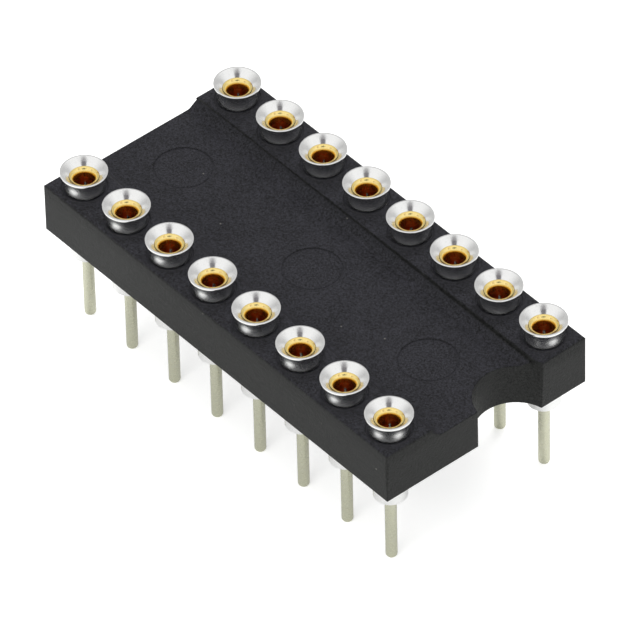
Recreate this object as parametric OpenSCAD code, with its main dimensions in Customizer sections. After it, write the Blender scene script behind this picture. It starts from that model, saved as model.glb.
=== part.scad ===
// Sixteen-way dual-in-line socket with turned contacts, in millimetres, +Z up.
// The origin is the centre of the contact grid, level with the tips of the tails.
// +X runs along the two rows towards the notched end, where contact 1 stands in the +Y row.

/* [Contact grid] */
// Number of contacts along each row
contacts_per_row = 8; // [3:1:12]
// Distance between neighbouring contacts of a row
pitch = 2.54; // [2.3:0.01:3]
// Distance between the two rows
row_spacing = 7.62; // [7:0.02:15.24]

/* [Body] */
// Plastic beyond the last contact of each row, from its centre to the end face
end_margin = 1.15; // [1.05:0.01:3]
// Plastic outside each row, from the contact's centre to the side face
side_margin = 1.13; // [1.05:0.01:3]
// Plastic inside each row, from the contact's centre to the top edge of the rail
inner_margin = 1.08; // [1:0.01:1.5]
// Height of the body at the rails
body_h = 2.29; // [1.6:0.01:3]
// How far the floor between the rails lies below their tops
floor_drop = 0.46; // [0.2:0.01:0.9]
// Width that the sloping inner side of each rail covers
slope_run = 0.38; // [0.2:0.01:0.8]
// Radius at the foot of that slope
slope_foot_r = 0.28; // [0.1:0.01:0.5]
// Radius along the top edges of the rails
rail_edge_r = 0.12; // [0.05:0.01:0.2]
// Radius of the four upright corners
corner_r = 0.13; // [0.05:0.01:0.4]
// Height of the band above the mould's parting line
parting_drop = 0.5; // [0.3:0.01:0.8]
// How far the outer faces lean in from the parting line to the top
top_lean = 0.03; // [0:0.005:0.06]
// How far the outer faces lean in from the parting line to the underside
bottom_lean = 0.035; // [0:0.005:0.06]

/* [Notch] */
// Radius of the round notch in the end face, at the floor
notch_r = 1.65; // [0.8:0.01:2]
// How much smaller that radius is at the underside
notch_taper = 0.05; // [0:0.01:0.15]
// How deep the notch reaches in from the end face
notch_depth = 1.34; // [0.6:0.01:1.6]
// Distance of the notch from the middle line, towards the row of contact 1
notch_offset = 1.14; // [0:0.01:1.2]

/* [Ejector marks] */
// Diameter of each round witness mark on the floor
mark_d = 2.35; // [1.5:0.01:3]
// How far the disc inside each mark is sunk
mark_sink = 0.02; // [0.01:0.005:0.05]
// Width of the line round each mark
mark_line_w = 0.07; // [0.04:0.01:0.15]
// Depth of the line round each mark
mark_line_depth = 0.06; // [0.03:0.01:0.1]
// Distance of the end marks from the end faces
mark_end_gap = 2.46; // [2:0.01:2.6]
// Extra distance of the mark that stands beside the notch
mark_notch_gap = 0.88; // [0.5:0.01:1.2]

/* [Contact holes] */
// Clearance between a contact and its hole, all round
seat_gap = 0.01; // [0.005:0.001:0.02]
// Width of the shallow ring recess round each contact, outside the neck
recess_w = 0.125; // [0.05:0.005:0.2]
// Depth of that recess
recess_depth = 0.08; // [0.03:0.01:0.15]
// How deep the contact's neck sits in the rail
neck_seat = 0.35; // [0.2:0.01:0.6]
// Size of the countersink under each hole
mouth_chamfer = 0.12; // [0.05:0.01:0.2]

/* [Contact sleeve] */
// Length of the tail below the board's top face
tail_len = 3.18; // [2.5:0.01:4.5]
// Height of the rim above the board's top face
contact_h = 4.19; // [4:0.01:5.5]
// Height of the rim above the rail
head_h = 0.79; // [0.6:0.01:1]
// Diameter of the tail
tail_d = 0.46; // [0.4:0.01:0.6]
// Radius that rounds the tail's tip
tip_r = 0.15; // [0.05:0.01:0.19]
// Diameter of the barrel inside the body
barrel_d = 1.32; // [1.28:0.01:1.4]
// Chamfer at the foot of the barrel
barrel_chamfer = 0.06; // [0.02:0.01:0.12]
// How far the barb stands out from the barrel
barb_w = 0.05; // [0.02:0.005:0.08]
// Height of the barb
barb_h = 0.3; // [0.15:0.01:0.4]
// Height of the barb's sharp edge above the body's underside
barb_place = 1; // [0.7:0.01:1.1]
// Diameter of the neck
neck_d = 1.55; // [1.46:0.01:1.6]
// Diameter of the rim
rim_d = 1.86; // [1.75:0.01:2]
// Thickness of the rim's outer edge
rim_land = 0.11; // [0.05:0.01:0.2]
// Height of the taper between the rim's edge and the neck
head_taper = 0.38; // [0.2:0.01:0.38]
// Radius that breaks the edges of the rim
rim_edge_r = 0.025; // [0.01:0.005:0.035]
// Width of the flat lip at the top of the rim
lip_w = 0.085; // [0.075:0.005:0.12]
// Depth of the funnel
funnel_h = 0.3; // [0.27:0.01:0.4]
// Diameter of the bore for the clip
bore_d = 1.1; // [1.06:0.01:1.12]
// Depth of that bore below the rim, to the corner of its drilled end
bore_depth = 3.35; // [2.6:0.01:3.5]
// Full angle of the drilled end
drill_angle = 118; // [100:1:140]

/* [Spring clip] */
// Clearance between the clip and the sleeve, all round
clip_gap = 0.005; // [0.003:0.001:0.01]
// How far the clip's flared edge lies below the rim
clip_drop = 0.26; // [0.22:0.01:0.26]
// Diameter of the opening below the flare
entry_d = 0.78; // [0.7:0.01:0.84]
// Depth of the flared entry
entry_h = 0.19; // [0.12:0.01:0.25]
// Height of the clip's closed ring, without its flare
ring_h = 0.55; // [0.35:0.01:0.7]
// Diameter of the throat between the relaxed fingers
throat_d = 0.38; // [0.32:0.01:0.42]
// Length of the throat
throat_h = 0.25; // [0.15:0.01:0.35]
// Length over which the fingers close, from the ring to the throat
finger_run = 0.9; // [0.6:0.01:1]
// Thickness of a finger at the throat
finger_t = 0.09; // [0.06:0.01:0.12]
// Length of the flared finger ends
finger_end_h = 0.2; // [0.1:0.01:0.25]
// How far the finger ends flare out
finger_end_flare = 0.07; // [0.03:0.01:0.1]
// Number of fingers
finger_count = 4; // [3:1:6]
// Width of the slots between the fingers
slot_w = 0.13; // [0.06:0.01:0.15]
// How far the slots run up into the ring
slot_rise = 0.08; // [0.02:0.01:0.15]

/* [Hidden] */
$fn = 64;
arc_steps = 6;
cut = 0.5;

contact_count = 2 * contacts_per_row;
body_l = (contacts_per_row - 1) * pitch + 2 * end_margin;
body_w = row_spacing + 2 * side_margin;
rail_inner_y = row_spacing / 2 - inner_margin;
slope_angle = atan2(floor_drop, slope_run);

rim_z = tail_len + contact_h;
rail_z = rim_z - head_h;
under_z = rail_z - body_h;
floor_z = rail_z - floor_drop;
parting_z = rail_z - parting_drop;
neck_foot_z = rail_z - neck_seat;
barb_z = under_z + barb_place;

rim_r = rim_d / 2;
neck_r = neck_d / 2;
barrel_r = barrel_d / 2;
bore_r = bore_d / 2;
tail_r = tail_d / 2;
funnel_top_r = rim_r - lip_w;
recess_r = neck_r + recess_w;
hole_r = barrel_r + seat_gap;

notch_centre_x = body_l / 2 - notch_depth + notch_r;
mark_x = [-body_l / 2 + mark_end_gap, 0, body_l / 2 - mark_end_gap - mark_notch_gap];

clip_r = bore_r - clip_gap;
clip_top_z = rim_z - clip_drop;
entry_z = clip_top_z - entry_h;
ring_foot_z = entry_z - ring_h;
throat_z = ring_foot_z - finger_run;
throat_foot_z = throat_z - throat_h;
clip_foot_z = throat_foot_z - finger_end_h;
funnel_slope = (funnel_top_r - bore_r) / funnel_h;
flare_r = funnel_top_r - clip_drop * funnel_slope - clip_gap * sqrt(1 + pow(funnel_slope, 2));
flare_foot_z = clip_top_z - (flare_r - clip_r) / funnel_slope;
flare_edge = 0.012;

function two_digits(n) = n < 10 ? str("0", n) : str(n);
function sleeve_name(n) = str("sleeve_", two_digits(n));
function clip_name(n) = str("clip_", two_digits(n));

// Points of an arc about (cx, cy), from angle a0 to angle a1
function arc(cx, cy, r, a0, a1) =
    [for (i = [0 : arc_steps]) let (a = a0 + (a1 - a0) * i / arc_steps) [cx + r * cos(a), cy + r * sin(a)]];

// The outline given by its +X half from top to bottom, closed by its mirror image
function both_sides(half) =
    concat(half, [for (i = [len(half) - 1 : -1 : 0]) [-half[i][0], half[i][1]]]);

// Centre of contact n: 1 stands by the notch in the +Y row, and the count runs round the body
function contact_place(n) =
    let (first_row = n <= contacts_per_row,
         step = first_row ? n - 1 : contact_count - n)
    [((contacts_per_row - 1) / 2 - step) * pitch, first_row ? row_spacing / 2 : -row_spacing / 2, 0];

// Section across the body: low floor, sloping rail sides, rounded edges and leaning outer faces
module cross_section() {
    foot_reach = slope_foot_r * tan(slope_angle / 2);
    edge_reach = rail_edge_r * tan(slope_angle / 2);
    half = concat(
        arc(rail_inner_y - slope_run - foot_reach, floor_z + slope_foot_r, slope_foot_r, -90, slope_angle - 90),
        arc(rail_inner_y + edge_reach, rail_z - rail_edge_r, rail_edge_r, slope_angle + 90, 90),
        outer_side(body_w / 2)
    );
    polygon(both_sides(half));
}

// Section along the body: the same outer faces at both ends, under a flat top
module long_section() {
    polygon(both_sides(outer_side(body_l / 2)));
}

// One outer face, from its rounded top edge over the parting line to the underside
function outer_side(reach) = concat(
    arc(reach - top_lean - rail_edge_r, rail_z - rail_edge_r, rail_edge_r, 90, 0),
    [[reach, parting_z], [reach - bottom_lean, under_z]]
);

// Plan of the body with its rounded upright corners
module plan_outline() {
    x = body_l / 2 - corner_r;
    y = body_w / 2 - corner_r;
    polygon(concat(arc(x, y, corner_r, 0, 90), arc(-x, y, corner_r, 90, 180),
                   arc(-x, -y, corner_r, 180, 270), arc(x, -y, corner_r, 270, 360)));
}

module body_blank() {
    intersection() {
        rotate([90, 0, 90]) linear_extrude(body_l + cut, center = true) cross_section();
        rotate([90, 0, 0]) linear_extrude(body_w + cut, center = true) long_section();
        translate([0, 0, under_z - cut]) linear_extrude(body_h + 2 * cut) plan_outline();
    }
}

// Round notch that marks the end of contact 1, slightly narrower towards the underside
module notch() {
    translate([notch_centre_x, notch_offset, under_z - cut])
        cylinder(h = body_h + 2 * cut, r1 = notch_r - notch_taper, r2 = notch_r + notch_taper * cut / body_h);
}

// Sunk disc with a fine line round it, left by an ejector pin
module ejector_mark() {
    translate([0, 0, floor_z - mark_sink]) cylinder(h = cut, d = mark_d);
    translate([0, 0, floor_z - mark_line_depth]) difference() {
        cylinder(h = cut, d = mark_d);
        translate([0, 0, -cut]) cylinder(h = 3 * cut, r = mark_d / 2 - mark_line_w);
    }
}

// Stepped hole for one contact, cut from above and below
module contact_hole() {
    translate([0, 0, rail_z - recess_depth]) cylinder(h = cut, r = recess_r);
    translate([0, 0, neck_foot_z]) cylinder(h = neck_seat + cut, r = neck_r + seat_gap);
    translate([0, 0, under_z - cut]) cylinder(h = body_h + 2 * cut, r = hole_r);
    translate([0, 0, barb_z - barb_h - seat_gap])
        cylinder(h = barb_h + 2 * seat_gap, r1 = hole_r, r2 = hole_r + barb_w);
    translate([0, 0, under_z - cut])
        cylinder(h = cut + mouth_chamfer, r1 = hole_r + mouth_chamfer + cut, r2 = hole_r);
}

module body() {
    color("#24242a") difference() {
        body_blank();
        notch();
        for (x = mark_x) translate([x, 0, 0]) ejector_mark();
        for (n = [1 : contact_count]) translate(contact_place(n)) contact_hole();
    }
}

// Outside of the sleeve as a turning, from the tip of the tail up to the lip
function sleeve_outside() = concat(
    [[0, 0]],
    arc(tail_r - tip_r, tip_r, tip_r, -90, 0),
    [[tail_r, tail_len], [barrel_r - barrel_chamfer, tail_len], [barrel_r, tail_len + barrel_chamfer],
     [barrel_r, barb_z - barb_h], [barrel_r + barb_w, barb_z], [barrel_r, barb_z],
     [barrel_r, neck_foot_z], [neck_r, neck_foot_z], [neck_r, rim_z - rim_land - head_taper],
     [rim_r, rim_z - rim_land]],
    arc(rim_r - rim_edge_r, rim_z - rim_edge_r, rim_edge_r, 0, 90),
    arc(funnel_top_r + rim_edge_r, rim_z - rim_edge_r, rim_edge_r, 90, 180 - atan2(funnel_slope, 1))
);

// Inside of the sleeve, from the funnel down to the point of the drilled bore
function sleeve_inside() = [
    [bore_r, rim_z - funnel_h],
    [bore_r, rim_z - bore_depth],
    [0, rim_z - bore_depth - bore_r / tan(drill_angle / 2)]
];

module sleeve() {
    color("#d9dadb") rotate_extrude() polygon(concat(sleeve_outside(), sleeve_inside()));
}

// Section of the clip: flared ring, closing fingers, throat and flared ends
function clip_section() = [
    [flare_r, clip_top_z], [clip_r, flare_foot_z], [clip_r, ring_foot_z],
    [throat_d / 2 + finger_t, throat_z], [throat_d / 2 + finger_t, throat_foot_z],
    [throat_d / 2 + finger_t + finger_end_flare, clip_foot_z], [throat_d / 2 + finger_end_flare, clip_foot_z],
    [throat_d / 2, throat_foot_z], [throat_d / 2, throat_z], [entry_d / 2, ring_foot_z],
    [entry_d / 2, entry_z], [flare_r - flare_edge, clip_top_z]
];

// Slots that part the fingers, from their ends up into the ring
module finger_slots() {
    for (i = [0 : finger_count - 1])
        rotate([0, 0, (i + 0.5) * 360 / finger_count])
            translate([0, -slot_w / 2, clip_foot_z - cut])
                cube([rim_r, slot_w, cut + ring_foot_z + slot_rise - clip_foot_z]);
}

module clip() {
    color("#d8a838") difference() {
        rotate_extrude() polygon(clip_section());
        finger_slots();
    }
}

body();
for (n = [1 : contact_count]) {
    translate(contact_place(n)) sleeve();
    translate(contact_place(n)) clip();
}
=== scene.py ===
import math

import bmesh
import bpy
from mathutils import Matrix, Vector


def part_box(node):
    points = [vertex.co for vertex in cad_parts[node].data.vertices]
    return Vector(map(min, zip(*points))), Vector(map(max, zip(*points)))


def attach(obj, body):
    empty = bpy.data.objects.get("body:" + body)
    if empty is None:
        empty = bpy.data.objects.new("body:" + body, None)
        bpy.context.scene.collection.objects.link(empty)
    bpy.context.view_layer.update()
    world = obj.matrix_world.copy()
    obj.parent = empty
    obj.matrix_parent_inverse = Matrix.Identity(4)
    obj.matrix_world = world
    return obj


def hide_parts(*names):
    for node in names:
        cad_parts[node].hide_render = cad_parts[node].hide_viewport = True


bl_info = {
    "name": "Chip socket dresser",
    "version": (1, 0, 0),
    "blender": (4, 5, 0),
    "location": "View3D > Sidebar > Socket",
    "description": "Gives a sixteen-way chip socket its moulded, tinned and gilded finishes",
    "category": "Object",
}

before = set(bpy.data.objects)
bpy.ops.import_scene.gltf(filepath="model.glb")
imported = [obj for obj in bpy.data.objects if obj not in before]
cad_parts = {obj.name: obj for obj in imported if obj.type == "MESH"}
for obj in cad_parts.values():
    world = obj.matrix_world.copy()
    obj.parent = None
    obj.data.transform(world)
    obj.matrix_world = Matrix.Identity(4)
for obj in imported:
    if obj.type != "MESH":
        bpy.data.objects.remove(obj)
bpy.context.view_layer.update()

MM = 0.001
TAU = 2 * math.pi
CONTACTS = 16


def numbered(word, n):
    """Name of the nth of a group of like pieces."""
    return f"{word}_{n:02d}"


def contact_place(n):
    """Centre of contact n in millimetres, read from its sleeve's box."""
    low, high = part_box(numbered("sleeve", n))
    return (low.x + high.x) / 2 / MM, (low.y + high.y) / 2 / MM


# ---------------------------------------------------------------- node maths


class Shade:
    """A value in a finish's node tree, on which sums add Math nodes."""

    def __init__(self, finish, socket):
        self.finish = finish
        self.socket = socket

    def math(self, operation, *others, first=None):
        values = ([] if first is None else [first]) + [self, *others]
        return self.finish.node("ShaderNodeMath", {"operation": operation}, dict(enumerate(values)))

    def __add__(self, other):
        return self.math("ADD", other)

    __radd__ = __add__

    def __sub__(self, other):
        return self.math("SUBTRACT", other)

    def __rsub__(self, other):
        return self.math("SUBTRACT", first=other)

    def __mul__(self, other):
        return self.math("MULTIPLY", other)

    __rmul__ = __mul__

    def ramp(self, low, high, smooth=True):
        """0 below low and 1 above high."""
        return self.finish.node(
            "ShaderNodeMapRange",
            {"interpolation_type": "SMOOTHSTEP" if smooth else "LINEAR", "clamp": True},
            {"Value": self, "From Min": low, "From Max": high, "To Min": 0.0, "To Max": 1.0},
        )

    def part(self, name):
        """One axis of a vector."""
        return self.finish.node("ShaderNodeSeparateXYZ", {}, {0: self}, out=name)


class Finish:
    """A material or world and its nodes."""

    def __init__(self, name, world=False):
        self.data = (bpy.data.worlds if world else bpy.data.materials).new(name)
        self.data.use_nodes = True
        self.tree = self.data.node_tree
        self.tree.nodes.clear()

    def node(self, kind, settings, sockets, out=0):
        """Adds a node: its settings first, then the values or links of its sockets."""
        node = self.tree.nodes.new(kind)
        for key, value in settings.items():
            setattr(node, key, value)
        for key, value in sockets.items():
            if isinstance(value, Shade):
                self.tree.links.new(value.socket, node.inputs[key])
            else:
                node.inputs[key].default_value = value
        return Shade(self, node.outputs[out]) if len(node.outputs) else node

    def mix(self, share, a, b, blend="MIX"):
        """Colour a where share is 0 and b where it is 1."""
        return self.node(
            "ShaderNodeMix",
            {"data_type": "RGBA", "blend_type": blend, "clamp_factor": True},
            {0: share, 6: a, 7: b},
            out=2,
        )

    def vector(self, operation, *values, out=0, scale=None):
        sockets = dict(enumerate(values))
        if scale is not None:
            sockets["Scale"] = scale
        return self.node("ShaderNodeVectorMath", {"operation": operation}, sockets, out=out)

    def places(self):
        """Position in the piece's own frame, in millimetres."""
        own = self.node("ShaderNodeTexCoord", {}, {}, out="Object")
        return self.vector("MULTIPLY", own, (1 / MM, 1 / MM, 1 / MM))

    def noise(self, where, scale, detail=2.0, rough=0.5):
        return self.node(
            "ShaderNodeTexNoise",
            {"noise_dimensions": "3D"},
            {"Vector": where, "Scale": scale, "Detail": detail, "Roughness": rough},
        )

    def specks(self, where, scale):
        """Distance from the nearest of many scattered points, and that point's own random colour."""
        node = self.node("ShaderNodeTexVoronoi", {"feature": "F1"}, {"Vector": where, "Scale": scale})
        return node, Shade(self, node.socket.node.outputs["Color"])

    def bump(self, height, depth, strength=1.0, normal=None):
        sockets = {"Height": height, "Distance": depth * MM, "Strength": strength}
        if normal is not None:
            sockets["Normal"] = normal
        return self.node("ShaderNodeBump", {}, sockets)

    def surface(self, sockets):
        shader = self.node("ShaderNodeBsdfPrincipled", {}, sockets)
        self.node("ShaderNodeOutputMaterial", {}, {"Surface": shader})
        return self.data


def rgba(colour, k=1.0):
    return (colour[0] * k, colour[1] * k, colour[2] * k, 1.0)


# ---------------------------------------------------------------- finishes


def plastic_finish(p):
    """Satin black glass-filled moulding with a fine grain, cloudy patches and a few pale fibre specks.
    Painted light makes the faces that look up a lighter black, and painted shade makes the upright faces
    darker.
    """
    f = Finish("satin_black_moulding")
    at = f.places()
    grain = f.noise(at, 11.0, 3.0, 0.6)
    clouds = f.noise(at, 0.9, 3.0, 0.55)
    fine = f.noise(at, 34.0, 1.0, 0.5)
    spot, tint = f.specks(at, 1.9)
    chosen = tint.part("X").ramp(p.speck_share, p.speck_share + 0.01)
    speck = (1 - spot.ramp(0.03, 0.10)) * chosen
    flow = f.noise(f.vector("MULTIPLY", at, (0.35, 2.6, 2.6)), 2.2, 2.0, 0.5)
    # Painted light and shade: faces that look up take the lighter top black, and upright faces take the
    # darker side black
    facing = f.node("ShaderNodeNewGeometry", {}, {}, out="Normal").part("Z")
    lit_top_share = facing.ramp(0.3, 0.9)
    base = f.mix(lit_top_share, rgba(p.shaded_side_colour), rgba(p.lit_top_colour))
    tone = (grain.ramp(0.34, 0.66, smooth=False) * 1.9 + fine.ramp(0.45, 0.72) * 1.6
            + clouds.ramp(0.3, 0.7) * 0.3)
    base = f.vector("SCALE", base, scale=tone)
    base = f.mix(speck * 0.7, base, (0.22, 0.21, 0.19, 1.0))
    soft = f.node("ShaderNodeBevel", {"samples": 6}, {"Radius": p.edge_radius})
    height = grain * 0.55 + fine * 0.3 + flow * 0.25 + speck * 0.8
    return f.surface({
        "Base Color": base,
        "Roughness": p.roughness + 0.10 * clouds + 0.25 * (grain.ramp(0.3, 0.7) - 0.5),
        "IOR": 1.27,
        "Normal": f.bump(height, p.grain_depth, normal=soft),
    })


def tin_finish(p):
    """Bright tin over turned brass: faint turning rings, a slightly cloudy plating and a warmer tail."""
    f = Finish("bright_tin_plating")
    at = f.places()
    reach = f.vector("LENGTH", f.vector("MULTIPLY", at, (1.0, 1.0, 0.0)), out="Value")
    height = at.part("Z")
    around = f.vector("MULTIPLY", at, (0.25, 0.25, 9.0))
    turned = f.node("ShaderNodeCombineXYZ", {}, {0: reach * 7.0, 1: height * 7.0, 2: 0.0})
    rings = f.noise(turned, 3.0, 2.0, 0.6)
    cloud = f.noise(at, 6.0, 3.0, 0.6)
    ripple = f.noise(around, 2.0, 1.0, 0.5)
    low = 1 - height.ramp(p.shoulder_height - 0.05, p.shoulder_height + 0.05)
    base = f.mix(low * 0.85, rgba(p.tin_colour), rgba(p.tail_colour))
    base = f.mix(cloud.ramp(0.5, 0.8) * 0.25, base, rgba(p.tin_colour, 0.72))
    # The outside of the neck alone, clear of the bore within it and the rim above it
    collar = ((1 - reach.ramp(0.83, 0.90)) * reach.ramp(0.69, 0.71)
              * height.ramp(p.rail_height - 0.1, p.rail_height))
    return f.surface({
        "Base Color": base,
        "Metallic": 1.0,
        "Roughness": p.roughness + 0.10 * cloud + low * 0.13 + collar * p.neck_roughness,
        "Normal": f.bump(rings * 0.6 + cloud * 0.5 + ripple * 0.3, p.ring_depth),
    })


def gold_finish(p):
    """Gold flash on the pressed clip, with faint pressing marks and a darker, redder colour down the bore
    that is painted shade.
    """
    f = Finish("gold_flash")
    at = f.places()
    cloud = f.noise(at, 8.0, 3.0, 0.6)
    drawn = f.noise(f.vector("MULTIPLY", at, (9.0, 9.0, 0.8)), 1.6, 2.0, 0.5)
    # Painted shade: deeper down the bore, where shade falls, the fingers are painted a darker red
    shaded_depth = 1 - at.part("Z").ramp(p.entry_height - 0.5, p.entry_height - 0.02)
    reach = f.vector("LENGTH", f.vector("MULTIPLY", at, (1.0, 1.0, 0.0)), out="Value")
    band = f.noise(f.node("ShaderNodeCombineXYZ", {}, {0: reach * 14.0, 1: 0.0, 2: 0.0}), 1.0, 2.0, 0.5)
    marks = f.noise(at, 5.0, 2.0, 0.6).ramp(0.56, 0.70)
    base = f.mix(band.ramp(0.45, 0.65) * 0.6, rgba(p.gold_colour), rgba(p.gold_shade))
    base = f.mix(marks * 0.6, base, rgba(p.bore_shade_and_mark_colour, 0.7))
    base = f.mix(cloud.ramp(0.45, 0.75) * 0.35, base, rgba(p.gold_colour, 0.85))
    # Painted shade down the bore
    base = f.mix(shaded_depth, base, rgba(p.bore_shade_and_mark_colour))
    return f.surface({
        "Base Color": base,
        "Metallic": 1.0,
        "Roughness": p.roughness + 0.12 * cloud + shaded_depth * 0.1,
        "Normal": f.bump(drawn * 0.6 + cloud * 0.4 + band * 1.2, p.mark_depth),
    })


# ---------------------------------------------------------------- shapes


def arc(cx, cy, r, a0, a1, steps):
    """Points of an arc in a turned section, angles in degrees."""
    return [
        (cx + r * math.cos(math.radians(a0 + (a1 - a0) * i / steps)),
         cy + r * math.sin(math.radians(a0 + (a1 - a0) * i / steps)))
        for i in range(steps + 1)
    ]


def new_piece(name, mesh, material, nodes):
    """Puts a mesh in the scene as a piece on the socket that stands for those nodes."""
    piece = bpy.data.objects.new(name, mesh)
    bpy.context.scene.collection.objects.link(piece)
    if not piece.data.materials:
        piece.data.materials.append(material)
    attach(piece, "root")
    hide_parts(*nodes)
    return piece


def one_a_contact(name, mesh, finish, node):
    """Stands a copy of the mesh at each contact, in place of that contact's own node."""
    for n in range(1, CONTACTS + 1):
        piece = new_piece(numbered(name, n), mesh, finish, [numbered(node, n)])
        x, y = contact_place(n)
        piece.matrix_world = Matrix.Translation((x * MM, y * MM, 0.0))


def turned_point(r, angle, z):
    """Point at a radius, an angle about the axis and a height, from millimetres."""
    return (r * MM * math.cos(angle), r * MM * math.sin(angle), z * MM)


def finished_mesh(name, bm):
    mesh = bpy.data.meshes.new(name)
    bm.to_mesh(mesh)
    bm.free()
    return mesh


def smooth_faces(bm, angle):
    """Smooth shading, broken where two faces meet at more than the angle."""
    for face in bm.faces:
        face.smooth = True
    for edge in bm.edges:
        edge.smooth = not (edge.is_manifold and edge.calc_face_angle(0.0) > math.radians(angle))


def turned_mesh(name, section, segments, angle=26.0):
    """A closed solid of revolution. Its section runs from the axis out, up and back, in millimetres."""
    bm = bmesh.new()
    rings = []
    for r, z in section:
        if r < 1e-6:
            rings.append([bm.verts.new((0.0, 0.0, z * MM))])
        else:
            rings.append([
                bm.verts.new(turned_point(r, TAU * k / segments, z))
                for k in range(segments)
            ])
    for low, high in zip(rings, rings[1:]):
        for k in range(segments):
            j = (k + 1) % segments
            corners = [low[k % len(low)], low[j % len(low)], high[j % len(high)], high[k % len(high)]]
            corners = list(dict.fromkeys(corners))
            bm.faces.new(corners)
    bmesh.ops.recalc_face_normals(bm, faces=bm.faces)
    smooth_faces(bm, angle)
    return finished_mesh(name, bm)


def sleeve_section(p):
    """Half section of the turned sleeve, tip of the tail first, down into the drilled bore last."""
    tail, barrel, neck, rim = p.tail_d / 2, p.barrel_d / 2, p.neck_d / 2, p.rim_d / 2
    bore, top = p.bore_d / 2, p.rim_height
    mouth = rim - p.lip_width
    steep = math.degrees(math.atan2(p.funnel_depth, mouth - bore))
    e, barb = p.edge_r, p.barb_height
    foot_flare, underside_r = 0.02, p.edge_r * 1.6
    waist = neck + foot_flare - p.waist
    return (
        [(0.0, 0.0)]
        + arc(tail - p.tip_r, p.tip_r, p.tip_r, -90, 0, 8)
        + [(tail, 0.8), (tail, 1.6), (tail, 2.4)]
        + [(tail, p.shoulder_height - 0.02), (tail + 0.02, p.shoulder_height)]
        + [(barrel - 0.06, p.shoulder_height), (barrel, p.shoulder_height + 0.06)]
        + [(barrel, barb - 0.3), (barrel + 0.05, barb), (barrel, barb + 0.001), (barrel, p.neck_foot)]
        + [(neck, p.neck_foot + 0.001)]
        + [(neck, p.rail_height - 0.04)]
        + [(waist + p.waist * (1 - k) ** 2, p.rail_height + p.waist_height * k)
           for k in (0.0, 0.15, 0.3, 0.5, 0.7, 0.85, 1.0)]
        + [(waist + out, top - p.rim_land - down)
           for out, down in ((0.012, 0.15), (0.04, 0.095), (0.09, 0.05))]
        + arc(rim - underside_r, top - p.rim_land + e * 0.6, underside_r, -50, 0, 4)
        + arc(rim - e, top - e, e, 0, 90, 5)
        + arc(mouth + e, top - e, e, 90, 180 - (90 - steep), 5)
        + [(mouth + (bore - mouth) * k, top - p.funnel_depth * k) for k in (0.25, 0.5, 0.75)]
        + [(bore, top - p.funnel_depth), (bore, top - p.bore_depth), (0.0, top - p.bore_depth - 0.33)]
    )


def clip_mesh(name, p):
    """A flared ring over four fingers that close to a throat and flare again at their ends."""
    throat, wall = p.throat_d / 2, p.finger_wall
    top, entry = p.clip_top, p.entry_height
    ring_foot = entry - p.ring_height
    slot_top = ring_foot + p.slot_rise
    closed, open_ = ring_foot - p.finger_run, ring_foot - p.finger_run - p.throat_height
    end = open_ - p.end_height

    def closing(r_ring, r_throat):
        """A finger's side from the ring down to the throat, a little rounded at both ends."""
        side = []
        for k in range(9):
            t = k / 8
            s = t * t * (3 - 2 * t) * 0.35 + t * 0.65
            side.append((r_ring + (r_throat - r_ring) * s, ring_foot + (closed - ring_foot) * t))
        return side

    outside = [(p.flare_r, top), (p.clip_r, p.flare_foot), (p.clip_r, slot_top)]
    outside += closing(p.clip_r, throat + wall)
    outside += [(throat + wall, open_), (throat + wall + p.end_flare, end)]
    inside = [(throat + p.end_flare, end), (throat, open_)]
    inside += closing(p.entry_d / 2, throat)[::-1]
    inside += [(p.entry_d / 2, slot_top)]
    # The flare is a bell, which leaves the ring at the first angle and is level at its edge
    lip, first = 0.012, math.radians(34.0)
    bell, rise = p.flare_r - lip - p.entry_d / 2, top - entry
    for k in range(9):
        a = first + (math.pi / 2 - first) * k / 8
        inside.append((p.entry_d / 2 + bell * (math.cos(first) - math.cos(a)) / math.cos(first),
                       entry + rise * (math.sin(a) - math.sin(first)) / (1 - math.sin(first))))
    section = outside + inside
    upper_out, upper_in = 2, len(outside) + inside.index((p.entry_d / 2, slot_top))
    columns = []
    count, wide, narrow = 4, 14, 3
    for finger in range(count):
        for k in range(wide):
            columns.append((finger, "finger", k / wide))
        for k in range(narrow):
            columns.append((finger, "slot", k / narrow))

    def angle(column, r):
        finger, kind, t = column
        half = math.asin(min(0.9, p.slot_width / 2 / max(r, 1e-6)))
        start = finger * TAU / count + half
        if kind == "finger":
            return start + t * (TAU / count - 2 * half)
        return start + (TAU / count - 2 * half) + t * 2 * half

    bm = bmesh.new()
    grid = []
    for column in columns:
        grid.append([
            bm.verts.new(turned_point(r, angle(column, r) - TAU / 8 + TAU / 4, z))
            for r, z in section
        ])
    n = len(section)
    ring_part = list(range(0, upper_out)) + list(range(upper_in, n))
    finger_part = list(range(upper_out, upper_in))
    for c, column in enumerate(columns):
        here, there = grid[c], grid[(c + 1) % len(columns)]
        for i in ring_part:
            j = (i + 1) % n
            bm.faces.new([here[i], here[j], there[j], there[i]])
        if column[1] == "finger":
            for i in finger_part:
                bm.faces.new([here[i], here[i + 1], there[i + 1], there[i]])
        else:
            bm.faces.new([here[upper_out], here[upper_in], there[upper_in], there[upper_out]])
    for c, column in enumerate(columns):
        before = columns[c - 1][1]
        if column[1] != before:
            bm.faces.new([grid[c][i] for i in range(upper_out, upper_in + 1)])
    bmesh.ops.recalc_face_normals(bm, faces=bm.faces)
    loose = [v for v in bm.verts if not v.link_faces]
    bmesh.ops.delete(bm, geom=loose, context="VERTS")
    smooth_faces(bm, 34.0)
    return finished_mesh(name, bm)


# ---------------------------------------------------------------- settings


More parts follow.
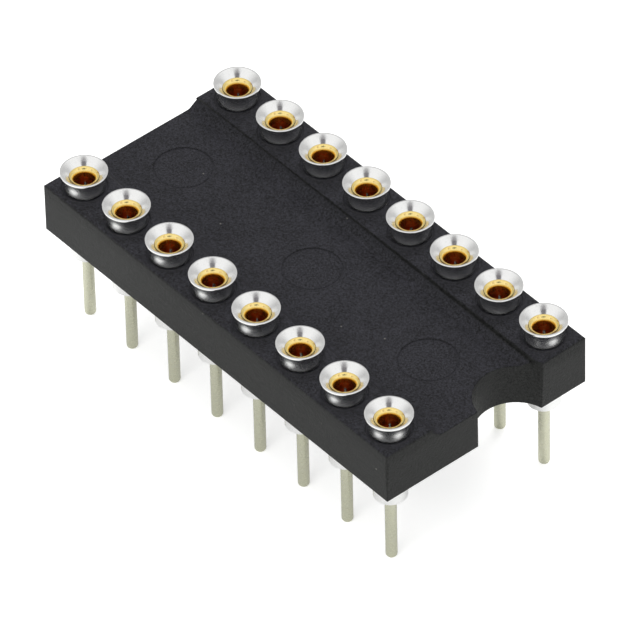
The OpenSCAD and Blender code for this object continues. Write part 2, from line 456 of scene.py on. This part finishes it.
class SocketBodySettings(bpy.types.PropertyGroup):
    # The top and side blacks are lit and shaded copies of one black: painted light on the faces that look
    # up, painted shade on the upright ones
    lit_top_colour: bpy.props.FloatVectorProperty(
        name="Top colour", description="Black of the faces that look up", subtype="COLOR",
        size=3, min=0, max=1, default=(0.0150, 0.0148, 0.0178))
    shaded_side_colour: bpy.props.FloatVectorProperty(
        name="Side colour", description="Black of the upright faces", subtype="COLOR",
        size=3, min=0, max=1, default=(0.0120, 0.0124, 0.0118))
    roughness: bpy.props.FloatProperty(
        name="Roughness", description="Roughness of the moulded skin before its grain", min=0, max=1,
        subtype="FACTOR", default=0.42)
    edge_radius: bpy.props.FloatProperty(
        name="Edge softness", description="Radius that softens the light along sharp edges",
        unit="LENGTH", min=0, default=0.09 * MM)
    grain_depth: bpy.props.FloatProperty(
        name="Grain depth", description="Depth of the moulded grain in millimetres", min=0, default=0.03)
    rail_top: bpy.props.FloatProperty(name="Rail top", description="Height of the rails, mm", default=6.58)
    rail_inner: bpy.props.FloatProperty(
        name="Rail inside", description="Inner edge of the rails, mm", default=2.75)
    crease_height: bpy.props.FloatProperty(
        name="Step height", description="Upright step on the slope, mm", default=0.16)
    crease_depth: bpy.props.FloatProperty(
        name="Step depth", description="Set-back of the step, mm", default=0.10)
    recess_floor: bpy.props.FloatProperty(
        name="Recess floor", description="Height of the ring recesses, mm", default=6.5)
    recess_fill: bpy.props.FloatProperty(
        name="Recess fill", description="Rise of that floor, mm", default=0.045)
    line_floor: bpy.props.FloatProperty(
        name="Mark line floor", description="Height of the mark lines, mm", default=6.06)
    line_fill: bpy.props.FloatProperty(
        name="Mark line fill", description="Rise of that floor, mm", default=0.03)
    speck_share: bpy.props.FloatProperty(
        name="Speck threshold", description="Share of places without a pale fibre speck", min=0, max=1,
        subtype="FACTOR", default=0.90)


class SocketSleeveSettings(bpy.types.PropertyGroup):
    tin_colour: bpy.props.FloatVectorProperty(
        name="Tin colour", description="Colour of the plated head and barrel", subtype="COLOR",
        size=3, min=0, max=1, default=(0.88, 0.88, 0.87))
    tail_colour: bpy.props.FloatVectorProperty(
        name="Tail colour", description="Warmer colour of the tails", subtype="COLOR",
        size=3, min=0, max=1, default=(0.56, 0.56, 0.40))
    roughness: bpy.props.FloatProperty(
        name="Roughness", description="Roughness of the bright plating", min=0, max=1, subtype="FACTOR",
        default=0.10)
    ring_depth: bpy.props.FloatProperty(
        name="Turning marks", description="Depth of the turning rings in millimetres", min=0, default=0.0012)
    segments: bpy.props.IntProperty(
        name="Segments", description="Facets round each sleeve", min=24, max=192, default=72)
    rim_height: bpy.props.FloatProperty(name="Rim height", description="Top of the rim, mm", default=7.37)
    rim_d: bpy.props.FloatProperty(name="Rim diameter", description="Across the rim, mm", default=1.86)
    rim_land: bpy.props.FloatProperty(
        name="Rim edge", description="Height of the rim's edge, mm", default=0.08)
    lip_width: bpy.props.FloatProperty(
        name="Lip width", description="Flat lip of the rim, mm", default=0.085)
    edge_r: bpy.props.FloatProperty(
        name="Edge radius", description="Radius of the rim's edges, mm", default=0.025)
    funnel_depth: bpy.props.FloatProperty(
        name="Funnel depth", description="Depth of the funnel, mm", default=0.3)
    bore_d: bpy.props.FloatProperty(name="Bore", description="Diameter of the bore, mm", default=1.1)
    bore_depth: bpy.props.FloatProperty(name="Bore depth", description="Depth of the bore, mm", default=3.35)
    neck_d: bpy.props.FloatProperty(name="Neck diameter", description="Across the neck, mm", default=1.55)
    neck_roughness: bpy.props.FloatProperty(
        name="Neck roughness", description="Extra roughness of the plating on the neck", min=0, max=1,
        subtype="FACTOR", default=0.07)
    waist: bpy.props.FloatProperty(
        name="Waist", description="Neck at its foot less its waist, mm", default=0.045)
    waist_height: bpy.props.FloatProperty(
        name="Waist height", description="Height over which it draws in, mm", default=0.34)
    rail_height: bpy.props.FloatProperty(
        name="Rail height", description="Top of the rails, mm", default=6.58)
    neck_foot: bpy.props.FloatProperty(
        name="Neck foot", description="Height of the neck's foot, mm", default=6.23)
    barrel_d: bpy.props.FloatProperty(name="Barrel", description="Across the barrel, mm", default=1.32)
    barb_height: bpy.props.FloatProperty(
        name="Barb height", description="Height of the barb, mm", default=5.29)
    shoulder_height: bpy.props.FloatProperty(
        name="Shoulder", description="Height of the shoulder, mm", default=3.18)
    tail_d: bpy.props.FloatProperty(name="Tail diameter", description="Across the tail, mm", default=0.46)
    tip_r: bpy.props.FloatProperty(
        name="Tip radius", description="Rounding of the tail's tip, mm", default=0.15)


class SocketClipSettings(bpy.types.PropertyGroup):
    gold_colour: bpy.props.FloatVectorProperty(
        name="Gold colour", description="Colour of the flared ring", subtype="COLOR",
        size=3, min=0, max=1, default=(1.0, 0.80, 0.33))
    gold_shade: bpy.props.FloatVectorProperty(
        name="Shaded gold", description="Colour of the bands between the bright ones", subtype="COLOR",
        size=3, min=0, max=1, default=(0.72, 0.46, 0.10))
    # Painted shade: the darker red painted down the bore; at 0.7 it also tints the pressing marks
    bore_shade_and_mark_colour: bpy.props.FloatVectorProperty(
        name="Deep colour", description="Colour of the fingers down the bore", subtype="COLOR",
        size=3, min=0, max=1, default=(0.78, 0.36, 0.13))
    roughness: bpy.props.FloatProperty(
        name="Roughness", description="Roughness of the gold flash", min=0, max=1, subtype="FACTOR",
        default=0.16)
    mark_depth: bpy.props.FloatProperty(
        name="Pressing marks", description="Depth of the pressing marks in millimetres",
        min=0, default=0.006)
    clip_top: bpy.props.FloatProperty(name="Flare height", description="Top of the flare, mm", default=7.11)
    flare_r: bpy.props.FloatProperty(
        name="Flare radius", description="Radius of the flare, mm", default=0.568)
    flare_foot: bpy.props.FloatProperty(
        name="Flare foot", description="Foot of the flare, mm", default=7.0721)
    clip_r: bpy.props.FloatProperty(
        name="Ring radius", description="Outer radius of the ring, mm", default=0.545)
    entry_d: bpy.props.FloatProperty(name="Entry", description="Opening below the flare, mm", default=0.78)
    entry_height: bpy.props.FloatProperty(
        name="Entry height", description="Foot of the flare, mm", default=6.92)
    ring_height: bpy.props.FloatProperty(
        name="Ring height", description="Height of the closed ring, mm", default=0.55)
    slot_rise: bpy.props.FloatProperty(
        name="Slot rise", description="Slots cut into the ring, mm", default=0.08)
    slot_width: bpy.props.FloatProperty(
        name="Slot width", description="Gap between the fingers, mm", default=0.13)
    finger_run: bpy.props.FloatProperty(
        name="Finger run", description="Height of the closing part, mm", default=0.9)
    finger_wall: bpy.props.FloatProperty(
        name="Finger wall", description="Thickness at the throat, mm", default=0.09)
    throat_d: bpy.props.FloatProperty(
        name="Throat", description="Opening between the fingers, mm", default=0.38)
    throat_height: bpy.props.FloatProperty(
        name="Throat height", description="Length of the throat, mm", default=0.25)
    end_height: bpy.props.FloatProperty(
        name="End height", description="Length of the finger ends, mm", default=0.2)
    end_flare: bpy.props.FloatProperty(
        name="End flare", description="Flare of the finger ends, mm", default=0.07)


class SocketStageSettings(bpy.types.PropertyGroup):
    floor_colour: bpy.props.FloatVectorProperty(
        name="Floor colour", description="Colour of the floor", subtype="COLOR",
        size=3, min=0, max=1, default=(0.86, 0.86, 0.85))
    floor_glow: bpy.props.FloatProperty(
        name="Floor white", description="White that the floor shows of itself, 1 is white", min=0, max=1,
        subtype="FACTOR", default=0.62)
    floor_mirrored: bpy.props.FloatProperty(
        name="Floor in reflections", description="Share of that white that polished metal shows",
        min=0, max=1,
        subtype="FACTOR", default=0.45)
    sky_strength: bpy.props.FloatProperty(
        name="Room light", description="Strength of the soft light all round", min=0, default=0.55)
    room_white: bpy.props.FloatProperty(
        name="Mirrored white", description="White of the room as polished metal shows it", min=0, max=1,
        subtype="FACTOR", default=1.0)
    key_power: bpy.props.FloatProperty(
        name="Main lamp", description="Power of the large lamp", unit="POWER", min=0, default=0.9)
    fill_power: bpy.props.FloatProperty(
        name="Second lamp", description="Power of the lamp on the other side", unit="POWER",
        min=0, default=0.45)
    azimuth: bpy.props.FloatProperty(
        name="Camera azimuth", description="Turn of the camera round the socket", subtype="ANGLE",
        default=math.radians(50.53))
    elevation: bpy.props.FloatProperty(
        name="Camera elevation", description="Height of the camera above the horizon", subtype="ANGLE",
        default=math.radians(43.10))
    roll: bpy.props.FloatProperty(
        name="Camera roll", description="Turn of the camera about its own line of sight", subtype="ANGLE",
        default=math.radians(-1.40))
    distance: bpy.props.FloatProperty(
        name="Camera distance", description="From the aim point to the camera, mm", default=360.264)
    slide_x: bpy.props.FloatProperty(name="Slide across", description="Sideways offset, mm", default=-0.304)
    slide_y: bpy.props.FloatProperty(name="Slide up", description="Upward offset, mm", default=2.541)
    aim_height: bpy.props.FloatProperty(
        name="Aim height", description="Height of the aim point, mm", default=6.95)
    lens: bpy.props.FloatProperty(name="Lens", description="Focal length, mm", default=537.5518875)


SETTINGS = {
    "socket_body": SocketBodySettings,
    "socket_sleeves": SocketSleeveSettings,
    "socket_clips": SocketClipSettings,
    "socket_stage": SocketStageSettings,
}


# ---------------------------------------------------------------- operators


class SOCKET_OT_body(bpy.types.Operator):
    """Builds the moulded body with soft edges and its satin black grain"""

    bl_idname = "socket.body"
    bl_label = "Moulded body"

    def execute(self, context):
        p = context.scene.socket_body
        bm = bmesh.new()
        bm.from_mesh(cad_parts["body"].data)
        bmesh.ops.remove_doubles(bm, verts=bm.verts, dist=0.0005 * MM)
        self.crease(bm, p)
        self.shallow(bm, p)
        smooth_faces(bm, 27.0)
        mesh = finished_mesh("moulded_body", bm)
        mesh.materials.clear()
        piece = new_piece("moulded_body", mesh, plastic_finish(p), ["body"])
        weighted = piece.modifiers.new("flat faces lead", "WEIGHTED_NORMAL")
        weighted.keep_sharp = True
        weighted.weight = 90
        return {"FINISHED"}

    def crease(self, bm, p):
        """Sets the top of each rail's sloping inner side back to a short upright step."""
        low = (p.rail_top - p.crease_height) * MM
        slope = [
            face for face in bm.faces
            if 0.3 < abs(face.normal.y) < 0.95 and 0.3 < face.normal.z < 0.9
            and abs(face.calc_center_median().y) < p.rail_inner * MM
        ]
        around = set(slope)
        for face in slope:
            around.update(face.verts)
            around.update(face.edges)
        cut = bmesh.ops.bisect_plane(
            bm, geom=list(around), dist=1e-9, plane_co=(0, 0, low), plane_no=(0, 0, 1))
        for v in cut["geom_cut"]:
            if isinstance(v, bmesh.types.BMVert) and abs(v.co.z - low) < 1e-7:
                v.co.y += math.copysign(p.crease_depth * MM, v.co.y)

    def shallow(self, bm, p):
        """Fills the ring recesses and the lines of the ejector marks to the depth that shows."""
        near = 0.002
        for v in bm.verts:
            if abs(v.co.z / MM - p.recess_floor) < near:
                v.co.z += p.recess_fill * MM
            elif abs(v.co.z / MM - p.line_floor) < near:
                v.co.z += p.line_fill * MM


class SOCKET_OT_sleeves(bpy.types.Operator):
    """Turns the sixteen tinned sleeves"""

    bl_idname = "socket.sleeves"
    bl_label = "Turned sleeves"

    def execute(self, context):
        p = context.scene.socket_sleeves
        mesh = turned_mesh("turned_sleeve", sleeve_section(p), p.segments)
        finish = tin_finish(p)
        one_a_contact("turned_sleeve", mesh, finish, "sleeve")
        return {"FINISHED"}


class SOCKET_OT_clips(bpy.types.Operator):
    """Presses the sixteen gilded spring clips"""

    bl_idname = "socket.clips"
    bl_label = "Spring clips"

    def execute(self, context):
        p = context.scene.socket_clips
        mesh = clip_mesh("spring_clip", p)
        finish = gold_finish(p)
        one_a_contact("spring_clip", mesh, finish, "clip")
        return {"FINISHED"}


class SOCKET_OT_stage(bpy.types.Operator):
    """Lays the pale floor and sets the lamps, the room light and the camera"""

    bl_idname = "socket.stage"
    bl_label = "Floor, light and camera"

    def execute(self, context):
        p = context.scene.socket_stage
        scene = context.scene
        self.floor(p)
        camera = self.camera(p)
        scene.camera = camera
        scene.world = self.room(p, camera)
        self.lamp("main_lamp", (-0.16, 0.22, 0.34), 0.30, 0.22, p.key_power)
        self.lamp("second_lamp", (0.10, -0.30, 0.26), 0.24, 0.18, p.fill_power)
        scene.view_settings.view_transform = "Standard"
        return {"FINISHED"}

    def floor(self, p):
        f = Finish("pale_floor")
        path = f.node("ShaderNodeLightPath", {}, {}, out="Is Camera Ray")
        glossy = Shade(f, path.socket.node.outputs["Is Glossy Ray"])
        through = Shade(f, path.socket.node.outputs["Is Transmission Ray"])
        seen = (path + glossy * p.floor_mirrored + through * p.floor_mirrored).ramp(0.0, 1.0, smooth=False)
        cloud = f.noise(f.places(), 0.05, 2.0)
        plain = f.mix(cloud.ramp(0.3, 0.7) * 0.3, rgba(p.floor_colour), rgba(p.floor_colour, 0.98))
        f.surface({
            "Base Color": plain,
            "Roughness": 0.9,
            "Specular IOR Level": 0.0,
            "Emission Color": f.mix(seen, (0.0, 0.0, 0.0, 1.0), rgba((p.floor_glow,) * 3)),
            "Emission Strength": 1.0,
        })
        bm = bmesh.new()
        bmesh.ops.create_circle(bm, cap_ends=True, segments=96, radius=3.0)
        mesh = finished_mesh("floor", bm)
        mesh.materials.append(f.data)
        floor = bpy.data.objects.new("floor", mesh)
        bpy.context.scene.collection.objects.link(floor)

    def room(self, p, camera):
        """Soft white room. Polished metal sees it dimmer at the back, and dark where the camera stands."""
        f = Finish("soft_room", world=True)
        way = f.node("ShaderNodeTexCoord", {}, {}, out="Generated")
        back = camera.location.normalized()
        toward = f.vector("DOT_PRODUCT", way, tuple(back), out="Value")

        def within(inner, outer):
            """1 within the inner angle from the camera's side of the room, and 0 past the outer one."""
            return toward.ramp(math.cos(math.radians(outer)), math.cos(math.radians(inner)))

        far_share, dark = 0.6, (0.20, 0.19, 0.20, 1.0)
        light = f.mix(within(50.0, 105.0), rgba((p.room_white * far_share,) * 3), rgba((p.room_white,) * 3))
        mirrored = f.mix(within(11.0, 15.0), light, dark)
        path = f.node("ShaderNodeLightPath", {}, {}, out="Is Camera Ray")
        glossy = Shade(f, path.socket.node.outputs["Is Glossy Ray"])
        soft = f.node(
            "ShaderNodeBackground", {}, {"Color": (0.98, 0.99, 1.0, 1.0), "Strength": p.sky_strength})
        shown = f.node("ShaderNodeBackground", {}, {"Color": mirrored, "Strength": 1.0})
        white = f.node("ShaderNodeBackground", {}, {"Color": (1.0, 1.0, 1.0, 1.0), "Strength": 1.0})
        mixed = f.node("ShaderNodeMixShader", {}, {0: glossy, 1: soft, 2: shown})
        mixed = f.node("ShaderNodeMixShader", {}, {0: path, 1: mixed, 2: white})
        f.node("ShaderNodeOutputWorld", {}, {"Surface": mixed})
        return f.data

    def lamp(self, name, place, width, depth, power):
        light = bpy.data.lights.new(name, "AREA")
        light.shape = "RECTANGLE"
        light.size, light.size_y = width, depth
        light.energy = power
        lamp = bpy.data.objects.new(name, light)
        lamp.visible_glossy = False
        bpy.context.scene.collection.objects.link(lamp)
        lamp.location = place
        aim = Vector((0.0, 0.0, 0.005)) - Vector(place)
        lamp.rotation_mode = "QUATERNION"
        lamp.rotation_quaternion = aim.to_track_quat("-Z", "Y")

    def camera(self, p):
        az, el, roll = p.azimuth, p.elevation, p.roll
        back = Vector((math.sin(az) * math.cos(el), -math.cos(az) * math.cos(el), math.sin(el)))
        level = Vector((math.cos(az), math.sin(az), 0.0))
        rise = back.cross(level)
        right = level * math.cos(roll) + rise * math.sin(roll)
        up = rise * math.cos(roll) - level * math.sin(roll)
        data = bpy.data.cameras.new("camera")
        data.sensor_width, data.lens = 36.0, p.lens
        data.clip_start, data.clip_end = 0.01, 20.0
        camera = bpy.data.objects.new("camera", data)
        bpy.context.scene.collection.objects.link(camera)
        place = back * p.distance - right * p.slide_x - up * p.slide_y + Vector((0, 0, p.aim_height))
        turn = Matrix((right, up, back)).transposed().to_4x4()
        camera.matrix_world = Matrix.Translation(place * MM) @ turn
        return camera


OPERATORS = (SOCKET_OT_body, SOCKET_OT_sleeves, SOCKET_OT_clips, SOCKET_OT_stage)


class SOCKET_PT_panel(bpy.types.Panel):
    """Steps that dress the socket, in order"""

    bl_idname = "SOCKET_PT_panel"
    bl_label = "Chip socket"
    bl_space_type = "VIEW_3D"
    bl_region_type = "UI"
    bl_category = "Socket"

    def draw(self, context):
        for step in OPERATORS:
            self.layout.operator(step.bl_idname, text=step.bl_label)
        for name in SETTINGS:
            box = self.layout.box()
            group = getattr(context.scene, name)
            for key in group.bl_rna.properties.keys():
                if key not in ("rna_type", "name"):
                    box.prop(group, key)


def register():
    for group in SETTINGS.values():
        bpy.utils.register_class(group)
    for name, group in SETTINGS.items():
        setattr(bpy.types.Scene, name, bpy.props.PointerProperty(type=group))
    for step in (*OPERATORS, SOCKET_PT_panel):
        bpy.utils.register_class(step)


def unregister():
    for step in reversed((*OPERATORS, SOCKET_PT_panel)):
        bpy.utils.unregister_class(step)
    for name in SETTINGS:
        delattr(bpy.types.Scene, name)
    for group in reversed(list(SETTINGS.values())):
        bpy.utils.unregister_class(group)


def main():
    register()
    bpy.ops.socket.body()
    bpy.ops.socket.sleeves()
    bpy.ops.socket.clips()
    bpy.ops.socket.stage()


if __name__ == "__main__":
    main()
